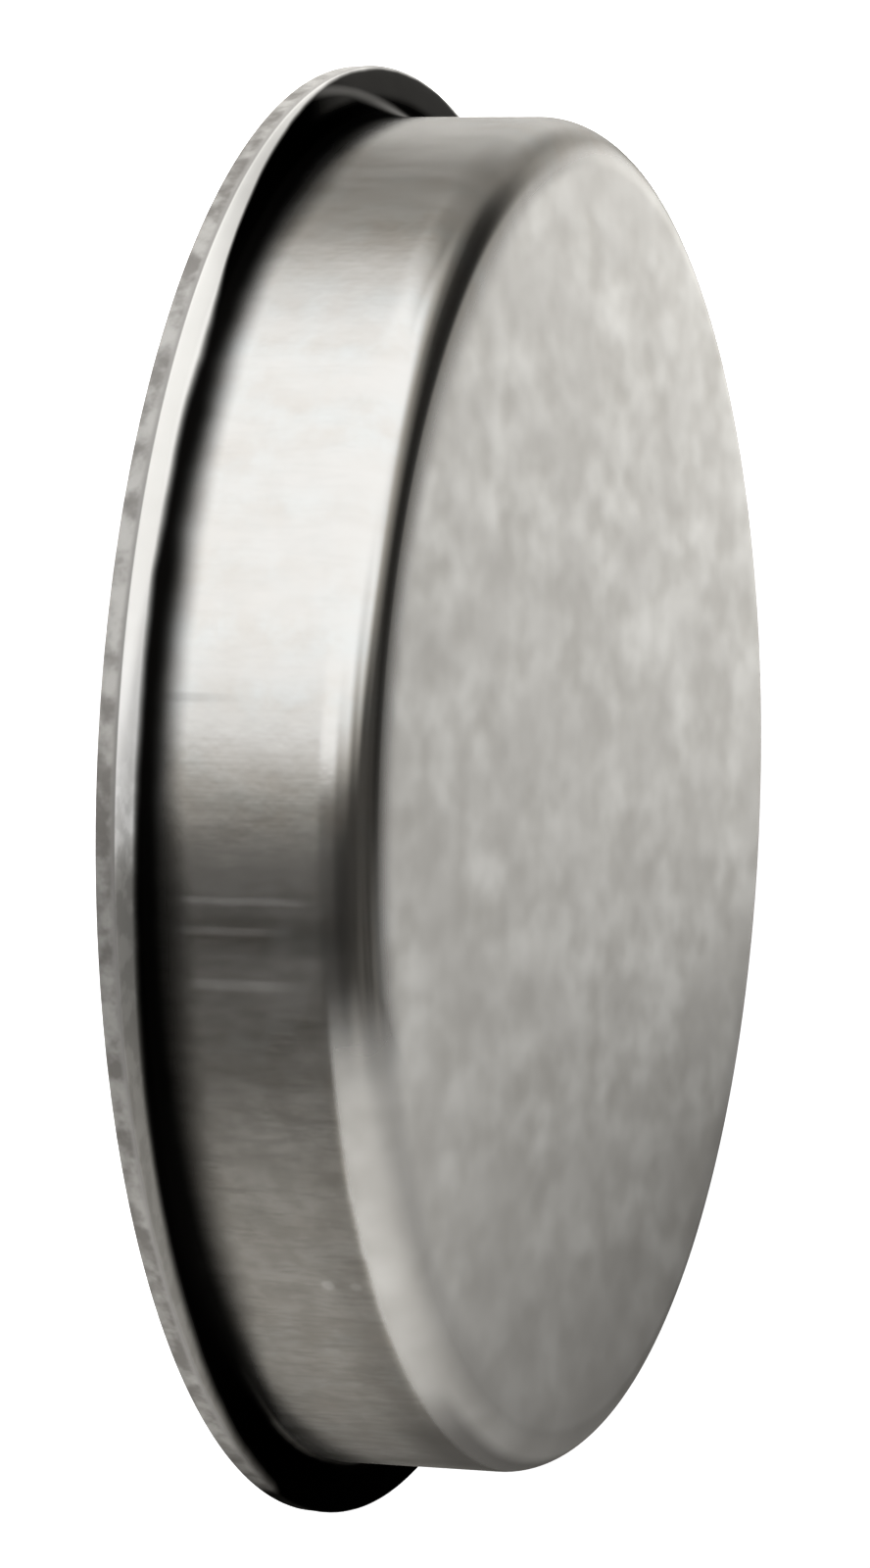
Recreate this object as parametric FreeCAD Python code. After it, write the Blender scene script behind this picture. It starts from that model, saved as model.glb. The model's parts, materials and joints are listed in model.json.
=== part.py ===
import FreeCAD, Part
import math
import os

# Pipe plug: one round of stainless sheet, pressed into a shallow cup with a narrow flange round its mouth.
# The cup goes into the end of a pipe, closed face first, until the flange sits on the pipe's end.
# All sizes are millimetres. The origin is the centre of the flange's back face, where the plug stands,
# and +Z runs along the plug's axis to the closed face.

# The pipe end that the plug closes
PIPE_BORE = 82.8
PIPE_WALL = 3.05

# The plug's fit in that pipe
PRESS_ALLOWANCE = 0.1   # how much wider the cup is than the bore
RIM_PROUD = 0.15        # how far the flange's rim stands out past the pipe's outside, on each side

# The pressing
SHEET = 1.2             # thickness of the sheet
DEPTH = 14.6            # back face of the flange to the closed face
NOSE_BEND = 1.7         # inside radius of the bend between the wall and the closed face
ROOT_BEND = 1.0         # inside radius of the bend between the wall and the flange

# The rim as blanking leaves it, from its front corner to its back
EDGE_ROLL = 0.25        # radius of the front corner, drawn over by the die
LAND = 0.12             # width of the upright band that the die burnished
TEAR = 0.05             # how far the torn part below it falls back
EDGE_BREAK = 0.08       # bevel on the back corner, where the burr was taken off

# What follows from them
WALL_RADIUS = (PIPE_BORE + PRESS_ALLOWANCE) / 2
RIM_RADIUS = PIPE_BORE / 2 + PIPE_WALL + RIM_PROUD


def point(radius, height):
    """A point of the section, which lies in a plane through the axis."""
    return FreeCAD.Vector(radius, 0, height)


def bend(centre, radius, first, last):
    """A bend of the section about a centre, from one angle to another: 0 is outwards and 90 is up.

    It is made as two equal arcs, so that the turned bend has a seam half way round its curve.
    """
    steps = []
    for share in (0, 0.25, 0.5, 0.75, 1):
        turn = math.radians(first + (last - first) * share)
        steps.append(centre + point(radius * math.cos(turn), radius * math.sin(turn)))
    return [Part.Arc(*steps[0:3]).toShape(), Part.Arc(*steps[2:5]).toShape()]


def straight(first, last):
    """A straight edge of the section."""
    return Part.LineSegment(first, last).toShape()


def outline(start, runs):
    """The closed section: each run is a bend or a single corner, and straight edges join them."""
    edges = []
    here = start
    for run in runs:
        if isinstance(run, list):
            edges.append(straight(here, run[0].firstVertex(True).Point))
            edges += run
            here = run[-1].lastVertex(True).Point
        else:
            edges.append(straight(here, run))
            here = run
    edges.append(straight(here, start))
    return Part.Wire(edges)


def pipe_plug():
    """The whole plug: half of its section, turned once about the axis.

    The sheet keeps its thickness all the way, so at each bend its two faces turn about one centre.
    """
    nose = point(WALL_RADIUS - SHEET - NOSE_BEND, DEPTH - SHEET - NOSE_BEND)
    root = point(WALL_RADIUS + ROOT_BEND, SHEET + ROOT_BEND)
    rolled = point(RIM_RADIUS - EDGE_ROLL, SHEET - EDGE_ROLL)

    outer_face = [
        bend(nose, NOSE_BEND + SHEET, 90, 0),
        bend(root, ROOT_BEND, 180, 270),
    ]
    rim = [
        bend(rolled, EDGE_ROLL, 90, 0),
        point(RIM_RADIUS, SHEET - EDGE_ROLL - LAND),
        point(RIM_RADIUS - TEAR, EDGE_BREAK),
        point(RIM_RADIUS - TEAR - EDGE_BREAK, 0),
    ]
    inner_face = [
        bend(root, ROOT_BEND + SHEET, 270, 180),
        bend(nose, NOSE_BEND, 0, 90),
        point(0, DEPTH - SHEET),
    ]
    section = outline(point(0, DEPTH), outer_face + rim + inner_face)
    return Part.Face(section).revolve(point(0, 0), FreeCAD.Vector(0, 0, 1), 360)


os.makedirs("parts", exist_ok=True)
pipe_plug().exportStep("parts/pipe_plug.step")
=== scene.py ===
import json
import math
from functools import reduce

import bmesh
import bpy
from mathutils import Matrix, Vector


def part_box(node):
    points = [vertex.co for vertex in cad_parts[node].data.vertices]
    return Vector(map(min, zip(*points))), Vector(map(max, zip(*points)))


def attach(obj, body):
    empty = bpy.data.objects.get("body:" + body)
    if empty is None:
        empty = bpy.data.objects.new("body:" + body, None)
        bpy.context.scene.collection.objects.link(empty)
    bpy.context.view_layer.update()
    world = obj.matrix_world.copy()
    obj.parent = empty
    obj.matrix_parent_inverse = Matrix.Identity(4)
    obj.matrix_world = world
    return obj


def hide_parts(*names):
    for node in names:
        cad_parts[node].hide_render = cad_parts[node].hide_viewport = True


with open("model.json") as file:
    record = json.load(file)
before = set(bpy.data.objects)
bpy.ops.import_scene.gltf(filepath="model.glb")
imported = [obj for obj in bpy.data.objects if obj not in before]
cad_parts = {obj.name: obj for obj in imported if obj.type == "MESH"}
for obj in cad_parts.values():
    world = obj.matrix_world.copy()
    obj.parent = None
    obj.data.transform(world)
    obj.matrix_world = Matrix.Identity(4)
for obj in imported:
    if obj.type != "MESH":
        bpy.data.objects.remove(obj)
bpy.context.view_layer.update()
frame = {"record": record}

# The plug
# One round of stainless sheet, pressed into a shallow cup with a narrow flange round its mouth. Its section
# is drawn here once and turned about the axis, and the blanked rim gets the torn grain that shears leave.

MM = 0.001
spigot = next(m for m in frame["record"]["mounts"] if m["name"] == "spigot")
seat = next(m for m in frame["record"]["mounts"] if m["name"] == "flange_seat")
wall_radius = spigot["dims"]["r_mm"] * MM
rim_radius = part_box("pipe_plug")[1].x
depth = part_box("pipe_plug")[1].z
sheet = seat["pos_m"][2]
wall_top = spigot["pos_m"][2] + spigot["dims"]["length_mm"] * MM / 2
wall_foot = spigot["pos_m"][2] - spigot["dims"]["length_mm"] * MM / 2
nose_bend = depth - wall_top - sheet
root_bend = wall_foot - sheet

EDGE_ROLL = 0.25 * MM    # front corner of the rim, drawn over by the blanking tool
EDGE_BREAK = 0.08 * MM   # back corner of the rim, with its burr taken off
LAND = 0.12 * MM         # bright part of the sheared rim, below the rolled corner
TEAR = 0.05 * MM         # how far the torn part of the rim falls back
GRAIN = 0.03 * MM        # depth of the torn grain
GRAIN_SIZE = 1.3 * MM    # width of one tear
GRAIN_LEVEL = 0.65       # grain above this share stands out from the torn face, and the rest lies below it
WAVE = 0.02 * MM         # how far the drawn wall strays from true
WAVE_SIZE = 14 * MM      # length of one such wave
SEED = 7                 # which grain and wave
TURNS = 880              # steps round the axis
EASE = 0.2 * MM          # how far from a bend of the wall the section's close rows begin
FLANGE_EASE = 0.15 * MM  # the same on the flange
MERGE = 0.001 * MM       # points closer than this are one
CLOSE = 0.01 * MM        # what lies this close to the torn face belongs to it

press_sizes = {
    "Wall radius": wall_radius,
    "Rim radius": rim_radius,
    "Depth": depth,
    "Sheet": sheet,
    "Nose bend": nose_bend,
    "Root bend": root_bend,
    "Edge roll": EDGE_ROLL,
    "Edge break": EDGE_BREAK,
    "Land": LAND,
    "Tear": TEAR,
    "Grain": GRAIN,
    "Grain size": GRAIN_SIZE,
    "Wave": WAVE,
    "Wave size": WAVE_SIZE,
    "Seed": float(SEED),
}


def fill(socket, value):
    """Gives an input its value, or links it to the output that the value is."""
    if isinstance(value, bpy.types.NodeSocket):
        socket.id_data.links.new(value, socket)
    else:
        socket.default_value = value


def node(tree, kind, settings=None, **values):
    """A new node with its settings, and its inputs filled by name, or by number as i0, i1 and so on."""
    new = tree.nodes.new(kind)
    for key, value in (settings or {}).items():
        setattr(new, key, value)
    for key, value in values.items():
        numbered = key[0] == "i" and key[1:].isdigit()
        fill(new.inputs[int(key[1:]) if numbered else key.replace("_", " ")], value)
    return new


def tree_of(values):
    """The node tree that the first output among the values belongs to."""
    return next(v.id_data for v in values if isinstance(v, bpy.types.NodeSocket))


def step(operation, *values):
    """One arithmetic step."""
    inputs = {f"i{k}": value for k, value in enumerate(values)}
    return node(tree_of(values), "ShaderNodeMath", {"operation": operation}, **inputs).outputs[0]


def plus(*values):
    """The values added up."""
    return reduce(lambda total, value: step("ADD", total, value), values)


def minus(*values):
    """The first value less all the others."""
    return reduce(lambda total, value: step("SUBTRACT", total, value), values)


def times(*values):
    """The values multiplied."""
    return reduce(lambda total, value: step("MULTIPLY", total, value), values)


def most(*values):
    """The largest of the values."""
    return reduce(lambda total, value: step("MAXIMUM", total, value), values)


def over(first, second):
    """The first value divided by the second."""
    return step("DIVIDE", first, second)


def vector(operation, *values, **named):
    """One vector step. A length or a distance comes out as a number."""
    inputs = {f"i{k}": value for k, value in enumerate(values)}
    new = node(tree_of(values), "ShaderNodeVectorMath", {"operation": operation}, **inputs, **named)
    return new.outputs[1 if operation in ("LENGTH", "DISTANCE") else 0]


def pressing_tree(sizes):
    """The rule that makes the plug: the section's corners, rounded, stepped and turned about the axis."""
    tree = bpy.data.node_groups.new("turned pressing", "GeometryNodeTree")
    for name in sizes:
        tree.interface.new_socket(name, in_out="INPUT", socket_type="NodeSocketFloat")
    tree.interface.new_socket("Turns", in_out="INPUT", socket_type="NodeSocketInt")
    tree.interface.new_socket("Finish", in_out="INPUT", socket_type="NodeSocketMaterial")
    tree.interface.new_socket("Plug", in_out="OUTPUT", socket_type="NodeSocketGeometry")
    given = node(tree, "NodeGroupInput").outputs
    made = node(tree, "NodeGroupOutput").inputs

    wall, rim, high, thick = (given[name] for name in ("Wall radius", "Rim radius", "Depth", "Sheet"))
    inner = minus(wall, thick)
    under = minus(high, thick)
    torn_from = minus(thick, given["Edge roll"], given["Land"])
    torn_rim = minus(rim, given["Tear"])
    nose_outside = plus(given["Nose bend"], thick)
    root_outside = plus(given["Root bend"], thick)
    # Each corner's radius and height, its bend, and the longest step between rows after it, from the middle
    # of the closed face round to the middle of its back
    corners = [
        (0.0, high, 0.0, 6 * MM),
        (minus(wall, nose_outside, EASE), high, 0.0, 1 * MM),
        (wall, high, nose_outside, 1 * MM),
        (wall, minus(high, nose_outside, EASE), 0.0, 1.5 * MM),
        (wall, plus(thick, given["Root bend"], EASE), 0.0, 1 * MM),
        (wall, thick, given["Root bend"], 1 * MM),
        (plus(wall, given["Root bend"], FLANGE_EASE), thick, 0.0, 0.5 * MM),
        (rim, thick, given["Edge roll"], 0.12 * MM),
        (rim, torn_from, 0.0, 0.12 * MM),
        (torn_rim, 0.0, given["Edge break"], 0.7 * MM),
        (inner, 0.0, root_outside, 3 * MM),
        (inner, under, given["Nose bend"], 8 * MM),
        (0.0, under, 0.0, 8 * MM),
    ]

    def by_corner(column):
        """A value that changes from corner to corner."""
        which = node(tree, "GeometryNodeInputIndex").outputs[0]
        switch = node(tree, "GeometryNodeIndexSwitch", {"data_type": "FLOAT"}, i0=which)
        while len(switch.index_switch_items) < len(corners):
            switch.index_switch_items.new()
        for socket, corner in zip(switch.inputs[1:], corners):
            fill(socket, corner[column])
        return switch.outputs[0]

    # The section: its corners as a line, each corner rounded, each run stepped
    line = node(tree, "GeometryNodeMeshLine", Count=len(corners)).outputs[0]
    place = node(tree, "ShaderNodeCombineXYZ", X=by_corner(0), Z=by_corner(1)).outputs[0]
    line = node(tree, "GeometryNodeSetPosition", Geometry=line, Position=place).outputs[0]
    for name, column in (("bend", 2), ("stride", 3)):
        line = node(tree, "GeometryNodeStoreNamedAttribute", {"data_type": "FLOAT"},
                    Geometry=line, Name=name, Value=by_corner(column)).outputs[0]
    bend, stride = (node(tree, "GeometryNodeInputNamedAttribute", {"data_type": "FLOAT"}, Name=name).outputs[0]
                    for name in ("bend", "stride"))
    # 3 points on the rim's small bends, 12 on those of the sheet, and 24 on the outside of the nose
    sheet_bend = step("GREATER_THAN", bend, 0.5 * MM)
    nose_corner = step("GREATER_THAN", bend, 2.5 * MM)
    count = plus(times(sheet_bend, 9.0), times(nose_corner, 12.0), 3.0)
    section = node(tree, "GeometryNodeMeshToCurve", Mesh=line).outputs[0]
    section = node(tree, "GeometryNodeFilletCurve", {"mode": "POLY"},
                   Curve=section, Count=count, Radius=bend).outputs[0]
    here = node(tree, "GeometryNodeInputPosition").outputs[0]
    index = node(tree, "GeometryNodeInputIndex").outputs[0]
    after = node(tree, "GeometryNodeFieldAtIndex", {"data_type": "FLOAT_VECTOR"},
                 Value=here, Index=plus(index, 1)).outputs[0]
    cuts = step("FLOOR", over(vector("DISTANCE", here, after), stride))
    section = node(tree, "GeometryNodeSubdivideCurve", Curve=section, Cuts=cuts).outputs[0]
    rows = node(tree, "GeometryNodeAttributeDomainSize", {"component": "CURVE"}, Geometry=section).outputs[0]

    # The turn: one copy of the section for each step round the axis, joined into faces
    columns = plus(given["Turns"], 1)
    grid = node(tree, "GeometryNodeMeshGrid", Vertices_X=columns, Vertices_Y=rows).outputs[0]
    column = step("FLOOR", over(index, rows))
    row = step("MODULO", index, rows)
    across = node(tree, "GeometryNodeSampleIndex", {"data_type": "FLOAT_VECTOR"},
                  Geometry=section, Value=here, Index=row).outputs[0]
    turn = over(times(column, -2 * math.pi), given["Turns"])
    turned = node(tree, "ShaderNodeVectorRotate", {"rotation_type": "Z_AXIS"},
                  Vector=across, Angle=turn).outputs[0]
    shape = node(tree, "GeometryNodeSetPosition", Geometry=grid, Position=turned).outputs[0]
    shape = node(tree, "GeometryNodeMergeByDistance", Geometry=shape, Distance=MERGE).outputs[0]

    def noise(size, **look):
        """Noise from 0 to 1 with forms of the given size."""
        return node(tree, "ShaderNodeTexNoise", {"noise_dimensions": "4D"},
                    Vector=here, W=given["Seed"], Scale=over(1.0, size), **look).outputs[0]

    # The small relief: torn grain on the lower part of the rim, and a slow wave in the drawn wall
    x, y, z = node(tree, "ShaderNodeSeparateXYZ", Vector=here).outputs
    from_axis = vector("LENGTH", node(tree, "ShaderNodeCombineXYZ", X=x, Y=y).outputs[0])
    torn = times(
        step("GREATER_THAN", from_axis, minus(torn_rim, CLOSE)),
        step("LESS_THAN", z, torn_from),
        step("GREATER_THAN", z, given["Edge break"]),
    )
    grain = noise(given["Grain size"], Detail=3.0, Roughness=0.6)
    grain = times(minus(grain, GRAIN_LEVEL), given["Grain"], torn)
    drawn = step("MINIMUM", most(over(minus(z, thick), root_outside), 0.0), 1.0)
    swell = times(minus(noise(given["Wave size"], Detail=1.0), 0.5), given["Wave"], drawn)
    outward = node(tree, "GeometryNodeInputNormal").outputs[0]
    shift = vector("SCALE", outward, Scale=plus(grain, swell))
    shape = node(tree, "GeometryNodeSetPosition", Geometry=shape, Offset=shift).outputs[0]
    shape = node(tree, "GeometryNodeSetShadeSmooth", Geometry=shape, Shade_Smooth=True).outputs[0]
    shape = node(tree, "GeometryNodeRealizeInstances", Geometry=shape).outputs[0]
    shape = node(tree, "GeometryNodeSetMaterial", Geometry=shape, Material=given["Finish"]).outputs[0]
    fill(made["Plug"], shape)
    return tree


def placed(name, data):
    """A new object of the scene, at the origin."""
    thing = bpy.data.objects.new(name, data)
    bpy.context.scene.collection.objects.link(thing)
    return thing


stainless = bpy.data.materials.new("stainless sheet")
blank = placed("plug_blank", bpy.data.meshes.new("plug_blank"))
pressing = blank.modifiers.new("pressing", "NODES")
pressing.node_group = pressing_tree(press_sizes)
press_inputs = {**press_sizes, "Turns": TURNS, "Finish": stainless}
for item in pressing.node_group.interface.items_tree:
    if item.in_out == "INPUT":
        pressing[item.identifier] = press_inputs[item.name]
bpy.context.view_layer.update()
pressed = bpy.data.meshes.new_from_object(blank.evaluated_get(bpy.context.evaluated_depsgraph_get()))
blank.modifiers.remove(pressing)
bpy.data.objects.remove(blank)
plug = placed("pressed_plug", pressed)

# Its finish. The drawing die burnishes the wall and the bends and leaves fine marks along the axis. The closed
# face keeps the sheet's matt mill finish and the blanked rim is torn. Black painted shade fills the flange's
# root, the flange and the closed face's low end are painted with light and shade, and the wall and nose are
# darker towards the low end.

BRIGHT_NOSE = 2.2 * MM       # bright ring round the closed face, in from the wall
MATT_FROM = 6.0 * MM         # where the closed face is fully matt, in from the wall
DIE_MARK = 0.5 * MM          # width of a fine mark of the die
DIE_MARK_DEPTH = 0.003 * MM
HAIR = 0.6 * MM              # width of a darker, shorter mark
LONG = 0.05                  # how much height counts in the fine marks' noise: the less, the longer they are
SHORT = 0.22                 # the same in the shorter ones
PATCH = 2.6 * MM             # size of the wall's cool and warm patches
PATCH_DEPTH = 0.028 * MM     # how far the wall ripples with them
TONE = 3.0 * MM              # width of the wall's broad pale bands
STAIN = 1.7 * MM             # size of the stains on the wall's low side
MOTTLE = 2.7 * MM            # size of the mill finish's mottles
MOTTLE_DEPTH = 0.06 * MM
BROAD_MOTTLE = 7.5 * MM      # size of the clouds among them
ROLLED = (1.1, 0.65, 1.0)    # they are longer along Y, the way that the sheet was rolled
MATT_GRAIN = 0.16 * MM       # size of the mill finish's grain
MATT_GRAIN_DEPTH = 0.002 * MM
TORN_SPOT = 1.9 * MM         # size of the spots on the torn rim
TORN_DEPTH = 0.05 * MM
ROOT_SHADE_FOOT = 0.45 * MM     # the painted shade in the root is black up to here, above the flange
ROOT_SHADE_TOP = 3.1 * MM       # and ends here, except as the shifts below say
ROOT_SHADE_OUT = 0.4 * MM       # how far out on the flange it ends, from the wall
ROOT_SHADE_TOP_END = 2.55 * MM  # how much farther out it spreads at the plug's top end
ROOT_SHADE_LOW_SIDE = 2.9 * MM  # and on its low side
ROOT_SHADE_LOW_END = 4.2 * MM   # and at the very end of that
ROOT_SHADE_DRIFT = 1.0 * MM     # how far its edge strays
DRIFT = 5 * MM               # length of one such stray
HIGHLIGHT_ARC_BEARING = 72.0         # where the painted highlight arc crosses the flange, in degrees round the plug
HIGHLIGHT_ARC_IN = 0.6 * MM          # how far in from the rim it is there
HIGHLIGHT_ARC_SLOPE = 0.13 * MM      # how far it runs inwards with each degree
HIGHLIGHT_ARC_WIDTH = 0.7 * MM       # from its middle to its edge

WARM = (0.55, 0.53, 0.50, 1)
COOL = (0.585, 0.595, 0.585, 1)
PALE_BAND = (0.60, 0.59, 0.57, 1)
HAIR_GREY = (0.40, 0.39, 0.37, 1)
STAIN_GREY = (0.43, 0.42, 0.395, 1)
SCRATCH_PALE = (0.95, 0.95, 0.93, 1)
MILL_DARK = (0.485, 0.47, 0.437, 1)
MILL_PALE = (0.71, 0.70, 0.667, 1)
MILL_CLOUD = (0.49, 0.475, 0.447, 1)
# Grey for the rubbed edge, and for the painted shade on the closed face's low end
RUBBED_AND_SHADE = (0.30, 0.29, 0.275, 1)
# Darker grey towards the low end of the wall and the nose, and for the dark scratch
LOW_END_DARK = (0.115, 0.11, 0.104, 1)
TORN_DARK = (0.21, 0.20, 0.187, 1)
TORN_PALE = (0.42, 0.41, 0.39, 1)
RIM_GREY = (0.34, 0.33, 0.315, 1)
# The flange's colours: a near-white mottle, paler than the sheet, that is a painted sheen, and darker steps of
# painted shade round the plug
FLANGE_SHEEN_DULL = (0.90, 0.89, 0.87, 1)
FLANGE_SHEEN_PALE = (0.95, 0.945, 0.93, 1)
FLANGE_UPPER_SHADE = (0.77, 0.76, 0.73, 1)
FLANGE_LOW_HALF_SHADE = (0.82, 0.81, 0.78, 1)
FLANGE_LOWER_SHADE = (0.5, 0.49, 0.47, 1)
FLANGE_TOP_END_SHADE = (0.42, 0.41, 0.39, 1)
FLANGE_SPOT = (0.3, 0.29, 0.27, 1)
# Black of the painted shade in the flange's root, where shade falls in the corner
ROOT_SHADE_BLACK = (0.003, 0.0028, 0.0026, 1)
FULL_EDGE = (1, 1, 1, 1)
FAINT_EDGE = (0.35, 0.35, 0.35, 1)

# Each mark's angle round the plug in degrees, the heights of its two ends, its width and its strength
PALE_SCRATCHES = [
    (-8.9, 2.5 * MM, 13.0 * MM, 0.3 * MM, 0.1),
    (-11.3, 2.5 * MM, 11.5 * MM, 0.35 * MM, 0.1),
    (-15.6, 3.0 * MM, 12.0 * MM, 0.45 * MM, 0.1),
]
DARK_SCRATCH = (6.8, 1.5 * MM, 8.0 * MM, 0.4 * MM, 0.2)
# Each spot's angle, height, radius and strength
PALE_SPOTS = [(-43.3, 9.5 * MM, 0.55 * MM, 0.2), (-43.3, 11.2 * MM, 0.45 * MM, 0.15)]


def emptied(material):
    """The material's node tree, with its nodes taken out."""
    material.use_nodes = True
    material.node_tree.nodes.clear()
    return material.node_tree


def bearing(x, y):
    """The direction round the axis in degrees: 0 is towards the camera (-Y), and it grows towards -X."""
    return times(step("ARCTAN2", times(x, -1.0), times(y, -1.0)), 180 / math.pi)


def ramp(value, none, full):
    """0 at one value and 1 at the other, with a soft run between."""
    return node(value.id_data, "ShaderNodeMapRange", {"interpolation_type": "SMOOTHSTEP"},
                Value=value, From_Min=none, From_Max=full).outputs[0]


def cloud(where, size, detail=2.0, rough=0.5):
    """Noise from 0 to 1, with forms of the given size."""
    return node(where.id_data, "ShaderNodeTexNoise",
                Vector=where, Scale=1 / size, Detail=detail, Roughness=rough).outputs[0]


def blend(share, first, second):
    """A colour or a number between two. The Mix node has a set of sockets for each kind of value."""
    colours = [v for v in (first, second) if isinstance(v, tuple) or getattr(v, "type", "") == "RGBA"]
    kind, a, b, result = ("RGBA", 6, 7, 2) if colours else ("FLOAT", 2, 3, 0)
    inputs = {"i0": share, f"i{a}": first, f"i{b}": second}
    return node(share.id_data, "ShaderNodeMix", {"data_type": kind}, **inputs).outputs[result]


def layered(base, *layers):
    """A colour or a number with others laid over it in turn, each with the share that it covers."""
    for share, layer in layers:
        base = blend(share, base, layer)
    return base


def shifted(base, *shifts):
    """A size that changes round the plug: each shift counts by the share of it that holds there."""
    for share, amount in shifts:
        base = plus(base, times(share, amount))
    return base


finish = emptied(stainless)
place = node(finish, "ShaderNodeTexCoord").outputs["Object"]
x, y, height = node(finish, "ShaderNodeSeparateXYZ", Vector=place).outputs
flat_place = node(finish, "ShaderNodeCombineXYZ", X=x, Y=y).outputs[0]
radius = vector("LENGTH", flat_place)
angle = bearing(x, y)
# Side is 1 at the end of the plug that is up in the picture (-X) and -1 at the end that is down (+X), and
# front is 1 towards the camera
side = over(times(x, -1.0), radius)
front = over(times(y, -1.0), radius)

# Where each finish lies, as shares from 0 to 1. A ramp's two values are the places where a finish begins and
# where it is full, so what lies between them is its soft edge.
# The matt closed face comes first. On the plug's low side the nose is rubbed matt too, down to the wall
beyond_top = ramp(front, 0.3, -0.1)
face_from = shifted(wall_radius - BRIGHT_NOSE, (ramp(side, 0.0, -0.25), 0.8 * MM), (beyond_top, 1.0 * MM),
                    (ramp(front, 0.6, 0.35), 0.3 * MM))
face_full = shifted(wall_radius - MATT_FROM, (ramp(front, 0.7, 0.2), 2.2 * MM), (beyond_top, 1.0 * MM))
on_face = times(ramp(radius, face_from, face_full), ramp(height, depth - 3.0 * MM, depth - 2.0 * MM))
rubbed_nose = times(ramp(side, -0.25, -0.47), ramp(height, depth - 2.55 * MM, depth - 2.05 * MM))
top_end = times(ramp(side, 0.88, 0.99), ramp(height, depth - 0.3 * MM, depth - 1.4 * MM))
face_zone = most(on_face, rubbed_nose, times(top_end, 0.34))

# The back of the closed face, the flange's back, the rim with its torn part, and the flange's front
inner_radius = wall_radius - sheet
inner_depth = depth - sheet
back_zone = times(ramp(radius, inner_radius + 0.1 * MM, inner_radius - 0.1 * MM),
                  ramp(height, inner_depth + 0.3 * MM, inner_depth + 0.1 * MM))
under_zone = ramp(height, 0.06 * MM, 0.0)
rim_zone = ramp(radius, rim_radius - 0.14 * MM, rim_radius - 0.07 * MM)
torn_zone = times(rim_zone, ramp(height, sheet - 0.08 * MM, sheet - 0.4 * MM))
flange_zone = times(ramp(radius, wall_radius + 0.05 * MM, wall_radius + 0.35 * MM),
                    ramp(height, sheet + 0.7 * MM, sheet + 0.35 * MM))
matt_zone = most(face_zone, back_zone, under_zone, flange_zone)

# The drawn wall: its noise is stretched along the axis, because height counts for little in it
spoke = vector("SCALE", vector("NORMALIZE", flat_place), Scale=wall_radius)
long_marks, short_marks = (
    vector("ADD", spoke, node(finish, "ShaderNodeCombineXYZ", Z=times(height, share)).outputs[0])
    for share in (LONG, SHORT)
)
streaks = cloud(long_marks, DIE_MARK, 3.0, 0.6)
hairs = cloud(short_marks, HAIR, 3.0, 0.65)
tones = cloud(short_marks, TONE, 3.0)
patches = cloud(place, PATCH, 3.0, 0.55)
stains = cloud(place, STAIN)
drawn_wall = ramp(height, depth - 0.5 * MM, depth - 3.5 * MM)
banded = ramp(tones, 0.3, 0.7)
stained = times(plus(times(ramp(side, 0.05, -0.35), 0.85), 0.15), drawn_wall)

# The mill finish: mottles longer along the way that the sheet was rolled
rolled = vector("MULTIPLY", place, ROLLED)
mottle = cloud(rolled, MOTTLE, 1.5, 0.4)
broad_mottle = cloud(rolled, BROAD_MOTTLE, 1.0)
grain = cloud(place, MATT_GRAIN, 2.0, 0.7)
tear = cloud(place, TORN_SPOT, 3.0, 0.55)

# The painted shade in the root: black where shade falls in the corner. It fades out up the wall, and spreads
# over the flange at the plug's two ends, where the flange is painted dark too
drift = times(minus(cloud(place, DRIFT), 0.5), ROOT_SHADE_DRIFT)
low_side = ramp(side, 0.0, -0.75)
root_shade_low = shifted(sheet + ROOT_SHADE_FOOT, (low_side, -0.3 * MM))
root_shade_high = shifted(sheet + ROOT_SHADE_TOP, (ramp(side, 0.0, -0.2), 0.7 * MM),
                       (ramp(side, -0.7, -0.95), -2.6 * MM), (ramp(side, 0.7, 0.85), 1.0 * MM))
up_wall = ramp(plus(height, times(drift, 0.6)), root_shade_low, root_shade_high)
below = most(times(side, -1.0), 0.0)
reach = most(times(ramp(side, 0.6, 1.03), ROOT_SHADE_TOP_END), times(below, below, ROOT_SHADE_LOW_SIDE),
             times(ramp(side, -0.86, -1.0), ROOT_SHADE_LOW_END))
past_reach = minus(plus(radius, times(drift, 0.3)), reach, wall_radius + ROOT_SHADE_OUT)
softness = shifted(0.3 * MM, (low_side, 0.45 * MM))
out_flange = ramp(past_reach, times(softness, -1.0), softness)
off_wall = ramp(radius, wall_radius - 0.1 * MM, wall_radius - 0.3 * MM)
unshaded = step("POWER", most(up_wall, out_flange, off_wall), 2.0)

# A painted highlight: a faint pale arc across the painted shade at the top end, where the shade is also painted
# lighter; and the sheet's back, which the shade leaves bare
highlight_arc_line = minus(rim_radius - HIGHLIGHT_ARC_IN, times(minus(angle, HIGHLIGHT_ARC_BEARING), HIGHLIGHT_ARC_SLOPE))
painted_highlight_arc = times(ramp(step("ABSOLUTE", minus(radius, highlight_arc_line)), HIGHLIGHT_ARC_WIDTH, 0.0), ramp(side, 0.9, 0.96))
lighter_top_shade = times(ramp(side, 0.92, 0.98), ramp(radius, wall_radius + 0.8 * MM, wall_radius + 1.6 * MM))
root_radius = wall_radius + root_bend
root_height = sheet + root_bend
from_root = node(finish, "ShaderNodeCombineXYZ", X=minus(radius, root_radius), Y=minus(height, root_height))
behind_root = times(
    ramp(vector("LENGTH", from_root.outputs[0]), root_bend + 0.4 * sheet, root_bend + 0.6 * sheet),
    ramp(radius, root_radius + 0.3 * MM, root_radius),
    ramp(height, root_height, root_height - 0.3 * MM),
)
# The painted highlight arc and the lighter top end are cut into the painted shade, and so is the sheet's back
unshaded = most(unshaded, times(painted_highlight_arc, 0.3), times(lighter_top_shade, 0.14), ramp(height, 0.12 * MM, 0.02 * MM), behind_root)
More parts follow.
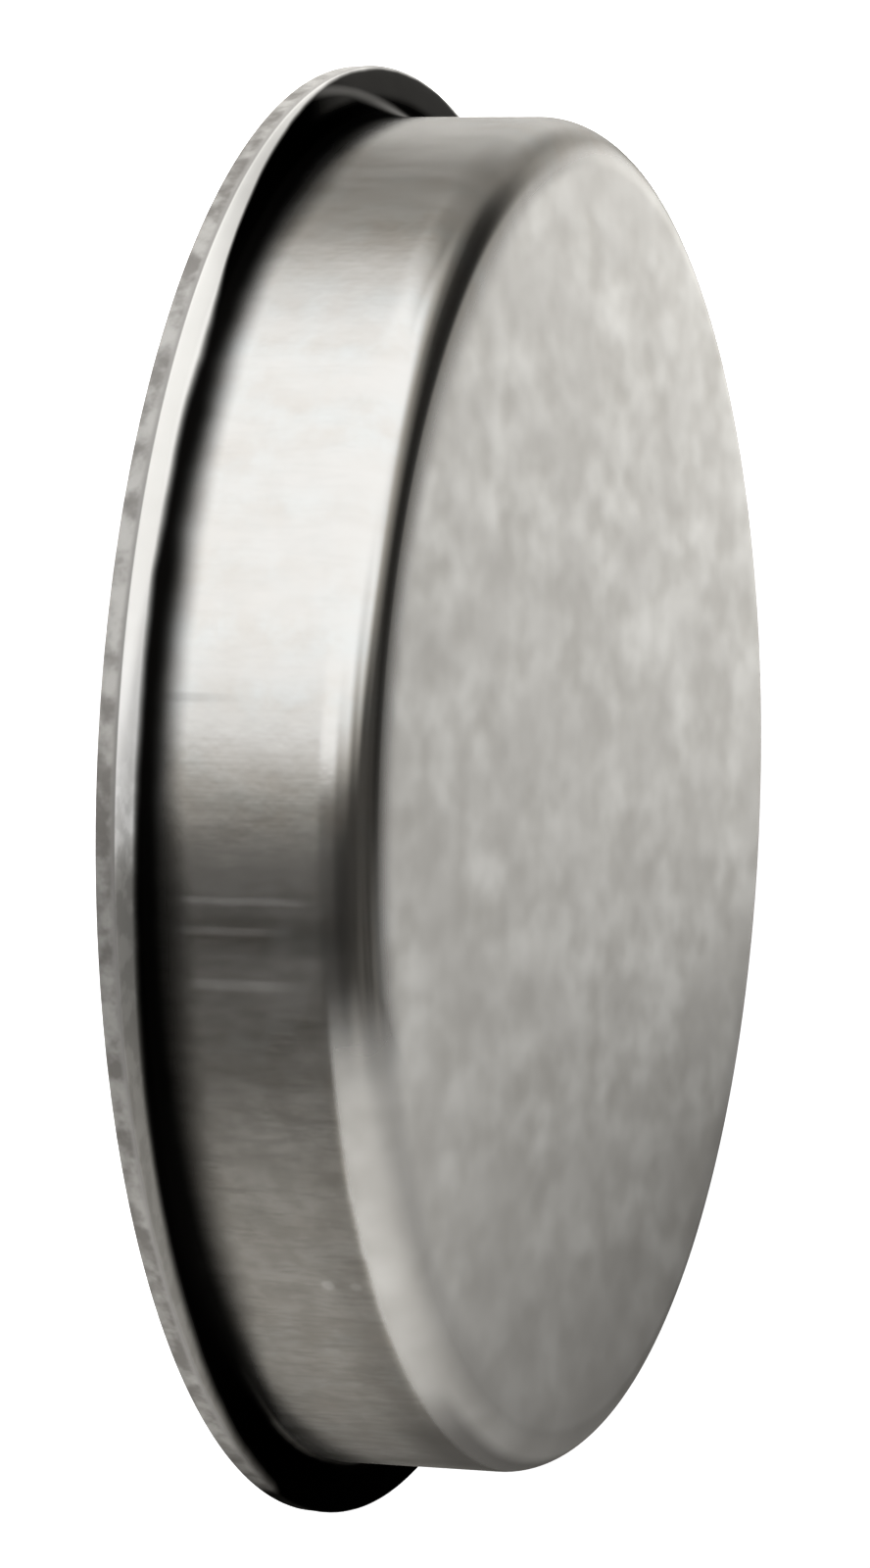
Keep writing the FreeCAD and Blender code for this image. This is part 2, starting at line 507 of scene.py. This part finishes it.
# The painted shade: black in the root's corner, fading up the wall and over the flange's two ends
painted_root_shade = minus(1.0, unshaded)


def round_wall(at):
    """How far a place lies from an angle, measured round the wall."""
    return times(minus(angle, at), math.pi / 180 * wall_radius)


def scratch(at, first, last, width, strength):
    """A straight mark along the axis, which fades in and out at its ends."""
    line = ramp(step("ABSOLUTE", round_wall(at)), width, width * 0.3)
    ends = times(ramp(height, first, first + 2.0 * MM), ramp(height, last, last - 4.0 * MM))
    return times(line, ends, strength)


def spot(at, level, size, strength):
    """A small round spot."""
    off = node(finish, "ShaderNodeCombineXYZ", X=round_wall(at), Y=minus(height, level))
    return times(ramp(vector("LENGTH", off.outputs[0]), size, size * 0.4), strength)


# Pale and dark marks, which the outer face alone has. The wall and the nose are darker towards the low end
outer_face = ramp(radius, wall_radius - 1.15 * MM, wall_radius - 0.95 * MM)
pale_marks = [scratch(*mark) for mark in PALE_SCRATCHES] + [spot(*mark) for mark in PALE_SPOTS]
pale_marks = times(most(*pale_marks), outer_face)
upper_wall = ramp(height, depth - 6.6 * MM, depth - 3.1 * MM)
darker_low_wall = times(upper_wall, ramp(side, -0.3, -1.0), ramp(height, depth - 2.2 * MM, depth - 3.0 * MM), 0.5)
darker_low_nose = times(upper_wall, ramp(side, -0.82, -0.94), ramp(height, depth - 0.5 * MM, depth - 1.4 * MM), 0.92)
dark_marks = times(most(scratch(*DARK_SCRATCH), darker_low_wall, darker_low_nose), outer_face)

mill_colour = layered(blend(ramp(mottle, 0.15, 0.85), MILL_DARK, MILL_PALE),
                      (times(ramp(broad_mottle, 0.3, 0.7), 0.6), MILL_CLOUD))
# The flange's low half, past the lamps' shadow edge, is painted in shade
shaded_flange_half = ramp(side, -0.05, -0.13)
# The flange's colour is painted with light and shade round the plug: palest, a painted sheen, at the front
# towards the camera, a little darker on its upper side, darker past the shadow edge on its low half and darker
# still farther down, and darkest at the top end. The spots near the front are its own.
flange_colour = layered(
    blend(ramp(mottle, 0.3, 0.7), FLANGE_SHEEN_DULL, FLANGE_SHEEN_PALE),
    (ramp(side, 0.05, 0.35), FLANGE_UPPER_SHADE),
    (shaded_flange_half, FLANGE_LOW_HALF_SHADE),
    (ramp(side, -0.2, -0.6), FLANGE_LOWER_SHADE),
    (times(ramp(side, 0.66, 0.85), 0.5), FLANGE_TOP_END_SHADE),
    (times(ramp(tear, 0.42, 0.6), ramp(side, 0.12, -0.1), 0.35), FLANGE_SPOT),
)
rubbed_edge = times(rubbed_nose, ramp(radius, wall_radius - 5.2 * MM, wall_radius - 3.0 * MM))
# Painted shade: the closed face is painted darker towards its low end, as the light falls off there
painted_low_end_shade = times(ramp(side, -0.65, -1.0), face_zone,
                ramp(radius, wall_radius - 15.45 * MM, wall_radius - 5.45 * MM))
colour = layered(
    blend(ramp(patches, 0.3, 0.7), WARM, COOL),
    (banded, PALE_BAND),
    (times(ramp(hairs, 0.4, 0.75), 0.65, stained), HAIR_GREY),
    (times(ramp(stains, 0.35, 0.75), 0.6, stained), STAIN_GREY),
    (pale_marks, SCRATCH_PALE),
    (matt_zone, mill_colour),
    (times(rubbed_edge, 0.4), RUBBED_AND_SHADE),
    # The painted shade on the closed face's low end
    (times(painted_low_end_shade, 0.45), RUBBED_AND_SHADE),
    (dark_marks, LOW_END_DARK),
    (flange_zone, flange_colour),
    (rim_zone, RIM_GREY),
    (torn_zone, blend(ramp(tear, 0.35, 0.65), TORN_DARK, TORN_PALE)),
    # The root's painted shade, black over all else
    (painted_root_shade, ROOT_SHADE_BLACK),
)
roughness = layered(
    plus(times(patches, drawn_wall, 0.1), 0.13),
    (times(ramp(side, -0.45, -0.8), ramp(height, sheet + 7.3 * MM, sheet + 3.8 * MM)), 0.265),
    (face_zone, plus(times(mottle, 0.12), 0.34)),
    (most(back_zone, under_zone), 0.4),
    (flange_zone, 0.55),
    (torn_zone, 0.42),
    (step("POWER", painted_root_shade, 8.0), 0.5),
)
# How much of each place is bare metal: the matt ones scatter light, as the mill finish's fine pits do
bare = layered(
    minus(1.0, times(banded, drawn_wall, 0.05), times(pale_marks, 0.5)),
    (face_zone, 0.4),
    # On the flange's painted-shade half more of it is metal, so the lamps light it less
    (flange_zone, blend(shaded_flange_half, 0.3, 0.85)),
    (rim_zone, 0.5),
    (painted_root_shade, 1.0),
)
relief = layered(
    times(plus(times(streaks, DIE_MARK_DEPTH), times(minus(patches, 0.5), PATCH_DEPTH)), drawn_wall),
    (matt_zone, plus(times(grain, MATT_GRAIN_DEPTH), times(minus(mottle, 0.5), MOTTLE_DEPTH))),
    (torn_zone, times(minus(tear, 0.5), TORN_DEPTH)),
)
bump = node(finish, "ShaderNodeBump", Height=relief, Distance=1.0, Strength=1.0).outputs[0]
# The flange's turned face draws its reflections out along the spokes
to_world = {"vector_type": "VECTOR", "convert_from": "OBJECT", "convert_to": "WORLD"}
outwards = node(finish, "ShaderNodeVectorTransform", to_world, Vector=spoke).outputs[0]
metal = node(
    finish, "ShaderNodeBsdfPrincipled",
    Base_Color=colour,
    Metallic=bare,
    Roughness=roughness,
    Normal=bump,
    # Edges reflect only faintly where the root's painted shade lies
    Specular_Tint=blend(painted_root_shade, FULL_EDGE, FAINT_EDGE),
    Anisotropic=times(flange_zone, 0.9),
    Tangent=vector("NORMALIZE", outwards),
)
node(finish, "ShaderNodeOutputMaterial", Surface=metal.outputs[0])

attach(plug, "root")
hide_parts("pipe_plug")

# The floor
# The plug stands on a sheet of pale paper, wide enough to fill the picture. It glows a little, so that it
# stays white and still takes the plug's shadow.

FLOOR_REACH = 3.0
PAPER = (0.8, 0.8, 0.8, 1)
PAPER_GLOW = 0.85

floor = placed("floor", bpy.data.meshes.new("floor"))
floor_corners = [(i * FLOOR_REACH, j * FLOOR_REACH, 0) for i, j in ((-1, -1), (1, -1), (1, 1), (-1, 1))]
floor.data.from_pydata(floor_corners, [], [(0, 1, 2, 3)])
paper = bpy.data.materials.new("paper")
fibres = emptied(paper)
white = node(fibres, "ShaderNodeBsdfDiffuse", Color=PAPER)
glow = node(fibres, "ShaderNodeEmission", Color=(1, 1, 1, 1), Strength=PAPER_GLOW)
both = node(fibres, "ShaderNodeAddShader", i0=white.outputs[0], i1=glow.outputs[0])
node(fibres, "ShaderNodeOutputMaterial", Surface=both.outputs[0])
floor.data.materials.append(paper)
floor.visible_glossy = False

# The light tent
# A round tent of cloth hangs about the plug, and only bright metal sees it. It is what the wall and the nose
# mirror: one bright side, one dimmer, and dark where the camera looks in.

TENT_RADIUS = 0.45
BRIGHTEST = 2.5                     # what a colour ramp's white stands for, because a ramp ends at 1
DIM_CLOTH = (1.05, 1.0, 0.915, 1)   # the dim parts are a little warm
BRIGHT_CLOTH = (1.0, 1.0, 1.0, 1)
ZENITH = 0.075

# How bright the cloth is round each belt: pairs of bearing in degrees and brightness
LOW_BELT = [
    (-20, 0.06), (-10, 0.12), (0, 0.5), (10, 1.25), (25, 1.5), (74, 1.5), (88, 1.1), (101, 0.45), (113, 0.28),
    (125, 0.28), (150, 0.29), (180, 0.22), (205, 0.11), (230, 0.26), (260, 0.4), (290, 0.34), (315, 0.14),
    (340, 0.06),
]
MIDDLE_BELT = [
    (-20, 0.05), (-10, 0.08), (-2, 0.2), (1, 0.55), (5, 1.45), (25, 1.5), (82, 1.5), (92, 0.75), (101, 0.3),
    (125, 0.25), (145, 0.3), (160, 0.6), (167, 0.7), (174, 0.3), (180, 0.12), (195, 0.1), (220, 0.1),
    (240, 0.35), (262, 0.9), (293, 0.95), (304, 0.5), (316, 0.16), (328, 0.06), (340, 0.05),
]
HIGH_BELT = [
    (-20, 0.03), (-10, 0.04), (0, 0.18), (12, 1.25), (22, 1.5), (90, 1.5), (102, 0.7), (115, 0.22), (132, 0.04),
    (150, 0.02), (180, 0.03), (200, 0.2), (225, 0.34), (255, 0.8), (288, 0.85), (300, 0.5), (310, 0.17),
    (320, 0.05), (340, 0.03),
]
TOP_BELT = [
    (-20, 0.05), (0, 0.06), (14, 0.3), (39, 1.1), (67, 1.45), (88, 1.2), (110, 0.55), (133, 0.3), (148, 0.18),
    (163, 0.06), (180, 0.06), (200, 0.06), (216, 0.09), (240, 0.07), (272, 0.12), (293, 0.1), (318, 0.05),
    (340, 0.05),
]
BELTS_START = -20

sphere = bmesh.new()
bmesh.ops.create_uvsphere(sphere, u_segments=96, v_segments=48, radius=TENT_RADIUS)
tent = placed("tent", bpy.data.meshes.new("tent"))
sphere.to_mesh(tent.data)
sphere.free()

cloth = bpy.data.materials.new("tent cloth")
weave = emptied(cloth)
towards = vector("NORMALIZE", node(weave, "ShaderNodeTexCoord").outputs["Object"])
x, y, z = node(weave, "ShaderNodeSeparateXYZ", Vector=towards).outputs
azimuth = bearing(x, y)
elevation = times(step("ARCSINE", z), 180 / math.pi)
round_tent = step("FRACT", over(minus(azimuth, BELTS_START), 360.0))


def belt(stops):
    """The brightness round one belt."""
    made = node(weave, "ShaderNodeValToRGB", Fac=round_tent)
    elements = made.color_ramp.elements
    while len(elements) < len(stops):
        elements.new(0.5)
    for element, (degrees, bright) in zip(elements, stops):
        grey = bright / BRIGHTEST
        element.position = (degrees - BELTS_START) / 360
        element.color = (grey, grey, grey, 1)
    return times(made.outputs[0], BRIGHTEST)


# Behind the plug the high belt comes down by 7 degrees
raised = plus(elevation, times(ramp(step("ABSOLUTE", azimuth), 140.0, 180.0), 7.0))
brightness = layered(
    belt(LOW_BELT),
    (ramp(elevation, -12.0, 6.0), belt(MIDDLE_BELT)),
    (ramp(raised, 22.0, 36.0), belt(HIGH_BELT)),
    (ramp(elevation, 48.0, 66.0), belt(TOP_BELT)),
    (ramp(elevation, 70.0, 84.0), ZENITH),
)
cloth_colour = blend(ramp(brightness, 0.3, 1.3), DIM_CLOTH, BRIGHT_CLOTH)
shine = node(weave, "ShaderNodeEmission", Color=cloth_colour, Strength=brightness)
node(weave, "ShaderNodeOutputMaterial", Surface=shine.outputs[0])
cloth.cycles.emission_sampling = "NONE"
tent.data.materials.append(cloth)
tent.visible_camera = False
tent.visible_diffuse = False
tent.visible_shadow = False
tent.visible_transmission = False

# The lamps
# Four small lamps light what isn't bright enough to mirror the tent: the closed face, the flange and the rim.
# A faint even light from all round comes with them.

FAINT_LIGHT = 0.08

world = bpy.data.worlds.new("studio")
bpy.context.scene.world = world
world.use_nodes = True
world.node_tree.nodes["Background"].inputs["Color"].default_value = (1, 1, 1, 1)
world.node_tree.nodes["Background"].inputs["Strength"].default_value = FAINT_LIGHT


def lamp(name, kind, watts, stand, aim, **make):
    """A lamp on its stand, turned to where it aims. Nothing mirrors it, so it leaves no specks in the metal."""
    light = bpy.data.lights.new(name, kind)
    light.energy = watts
    for key, value in make.items():
        setattr(light, key, value)
    light.cycles.use_multiple_importance_sampling = False
    head = placed(name, light)
    head.location = stand
    head.rotation_mode = "QUATERNION"
    head.rotation_quaternion = (Vector(aim) - head.location).to_track_quat("-Z", "Y")
    head.visible_glossy = False
    head.visible_camera = False


lamp("key", "SPOT", 0.44, (-0.105, -0.006, 0.12), (-0.068, -0.003, depth),
     spot_size=math.radians(60), spot_blend=0.32, shadow_soft_size=0.012)
lamp("far_key", "SPOT", 0.585, (0.003, 0.11, 0.07), (-0.08, -0.015, depth),
     spot_size=math.radians(88), spot_blend=0.52, shadow_soft_size=0.012)
lamp("low_key", "AREA", 0.4, (-0.149, 0.021, 0.042), (0, 0, 0), shape="DISK", size=0.025)
lamp("fill", "AREA", 0.066, (0.05, -0.077, 0.073), (0, 0, 0), shape="DISK", size=0.03)

# The camera
# It looks down on the plug at 19 degrees, from ten radii away, and lies on its side as in the photograph: the
# floor is at the picture's left.

CAMERA_AXIS = math.radians(71.281)   # between the plug's axis and the line back to the camera
CAMERA_ROLL = math.radians(1.733)    # how far the axis falls below level in the picture
CAMERA_BACK = 10 * wall_radius       # how far it stands from the middle of the flange
CAMERA_RIGHT = 4.584 * MM            # and how far to the right of it, and above it, in the picture
CAMERA_UP = 0.327 * MM
LENS_PIXELS = 6824                   # the lens, measured in pixels of the picture
PICTURE_HEIGHT = 1600

right = Vector((
    -math.sin(CAMERA_ROLL),
    math.cos(CAMERA_AXIS) * math.cos(CAMERA_ROLL),
    math.sin(CAMERA_AXIS) * math.cos(CAMERA_ROLL),
))
up = Vector((
    -math.cos(CAMERA_ROLL),
    -math.cos(CAMERA_AXIS) * math.sin(CAMERA_ROLL),
    -math.sin(CAMERA_AXIS) * math.sin(CAMERA_ROLL),
))
back = right.cross(up)
lens = bpy.data.cameras.new("camera")
lens.sensor_width = 36
lens.lens = LENS_PIXELS / PICTURE_HEIGHT * lens.sensor_width
lens.clip_start = 0.01
camera = placed("camera", lens)
turn = Matrix((right, up, back)).transposed().to_4x4()
camera.matrix_world = Matrix.Translation(right * CAMERA_RIGHT + up * CAMERA_UP + back * CAMERA_BACK) @ turn
bpy.context.scene.camera = camera
bpy.context.scene.view_settings.view_transform = "Standard"
